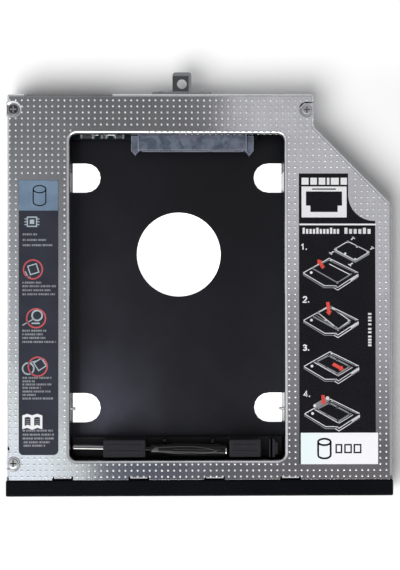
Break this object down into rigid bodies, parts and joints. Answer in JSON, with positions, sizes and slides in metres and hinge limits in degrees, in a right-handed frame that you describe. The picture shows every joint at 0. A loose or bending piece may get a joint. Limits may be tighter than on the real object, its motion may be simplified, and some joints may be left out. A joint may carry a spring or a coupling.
{
  "type": "laptop drive caddy",
  "caption": "Slim optical-bay caddy that holds a small laptop drive: folded cover, moulded tray, front bezel, serial socket, rear bracket and a lift-out retainer bar.",
  "frame": {"origin": "centre of the footprint, on the tray's underside", "axes": "+X towards the shallow wing, +Y from the bezel to the connectors, +Z out of the drive bay"},
  "size_m": [0.1284, 0.141, 0.0128],
  "materials": {
    "aluminium": "bare sheet with a grid of fine embossed dots",
    "tray_black": "fine matte grain",
    "bezel_black": "smooth satin",
    "bright_steel": "bright nickel plated",
    "dark_steel": "blackened",
    "board_green": "lacquered circuit board",
    "socket_blue_grey": "moulded satin",
    "host_black": "moulded satin",
    "chip_tan": "ceramic",
    "label_slate": "printed film",
    "label_black": "printed film",
    "handle_black": "glossy moulded"
  },
  "bodies": {
    "caddy": {"top_cover": "aluminium", "bottom_tray": "tray_black", "front_bezel": "bezel_black", "adapter_board": "board_green", "board_chip_1": "chip_tan", "board_chip_2": "chip_tan", "board_chip_3": "chip_tan", "board_screw_left": "bright_steel", "board_screw_right": "bright_steel", "drive_socket": "socket_blue_grey", "host_connector": "host_black", "rear_bracket": "dark_steel", "bracket_screw_left": "dark_steel", "bracket_screw_right": "dark_steel", "cover_screw_rear_left": "bright_steel", "cover_screw_rear_right": "bright_steel", "cover_screw_front_left": "bright_steel", "side_pin_left": "bright_steel", "side_pin_right": "bright_steel", "left_label": "label_slate", "right_label": "label_black"},
    "retainer": {"retainer_bar": "tray_black", "screwdriver_handle": "handle_black", "screwdriver_blade": "bright_steel"}
  },
  "joints": [
    {"name": "retainer_lift", "type": "slide", "parent": "caddy", "child": "retainer", "axis": [0, 0, 1], "range_m": [0, 0.016]}
  ]
}
